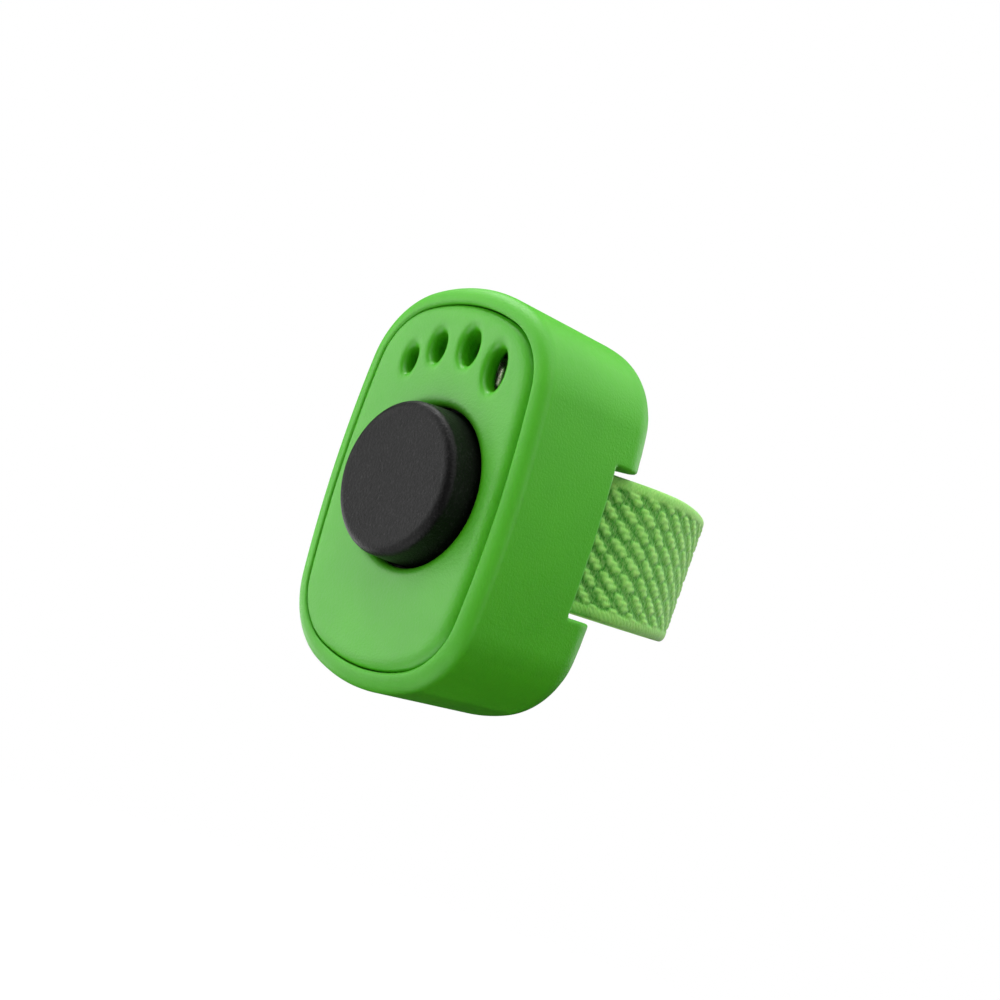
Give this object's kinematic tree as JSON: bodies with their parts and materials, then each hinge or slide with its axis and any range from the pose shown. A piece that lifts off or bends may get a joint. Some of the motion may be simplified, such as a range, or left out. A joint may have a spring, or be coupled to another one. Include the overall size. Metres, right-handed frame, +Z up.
{
  "type": "finger clicker trainer",
  "caption": "Oval clicker with an inset face panel, a round push button over a hidden steel clicker plate, toe-shaped sound holes and an elastic finger strap at the back.",
  "frame": {"origin": "middle of the finger space: on the case's long centre plane, half way up the strap, 29 mm behind the plane of the front rim", "axes": "+Z up along the case towards the sound holes, which is the way the finger points through the loop; +Y from the button towards the strap; +X to the right as the button is faced"},
  "size_m": [0.0304, 0.0435, 0.0456],
  "materials": {
    "case_plastic": "bright green moulded plastic, satin",
    "panel_plastic": "bright green moulded plastic with a fine even texture",
    "button_plastic": "black moulded plastic with a fine matte grain",
    "spring_steel": "bright rolled spring steel",
    "plated_steel": "zinc-plated steel",
    "elastic_webbing": "knobbly woven elastic, light green",
    "thread": "polyester sewing thread, green"
  },
  "bodies": {
    "housing": {"case_shell": "case_plastic", "face_panel": "panel_plastic", "clicker_plate_clamped_end": "spring_steel", "plate_clamp_bar": "button_plastic", "plate_screw_left": "plated_steel", "plate_screw_right": "plated_steel", "case_screw_top_left": "plated_steel", "case_screw_top_right": "plated_steel", "case_screw_bottom_left": "plated_steel", "case_screw_bottom_right": "plated_steel", "finger_strap": "elastic_webbing", "strap_anchor_pin_left": "plated_steel", "strap_anchor_pin_right": "plated_steel", "strap_stitching_left": "thread", "strap_stitching_right": "thread"},
    "push_button": {"button": "button_plastic"},
    "clicker_tongue": {"clicker_plate_tongue": "spring_steel"}
  },
  "joints": [
    {"name": "button_press", "type": "slide", "parent": "housing", "child": "push_button", "axis": [0, 1, 0], "range_m": [0, 0.002], "stiffness_N_per_m": 1200, "springref_m": -0.001},
    {"name": "tongue_flex", "type": "hinge", "parent": "housing", "child": "clicker_tongue", "pos_m": [0, -0.0217, -0.0118], "axis": [-1, 0, 0], "range_deg": [0, 9.8]}
  ],
  "couplings": [
    {"joint": "tongue_flex", "follows": "button_press", "rad_per_m": 84.7}
  ]
}
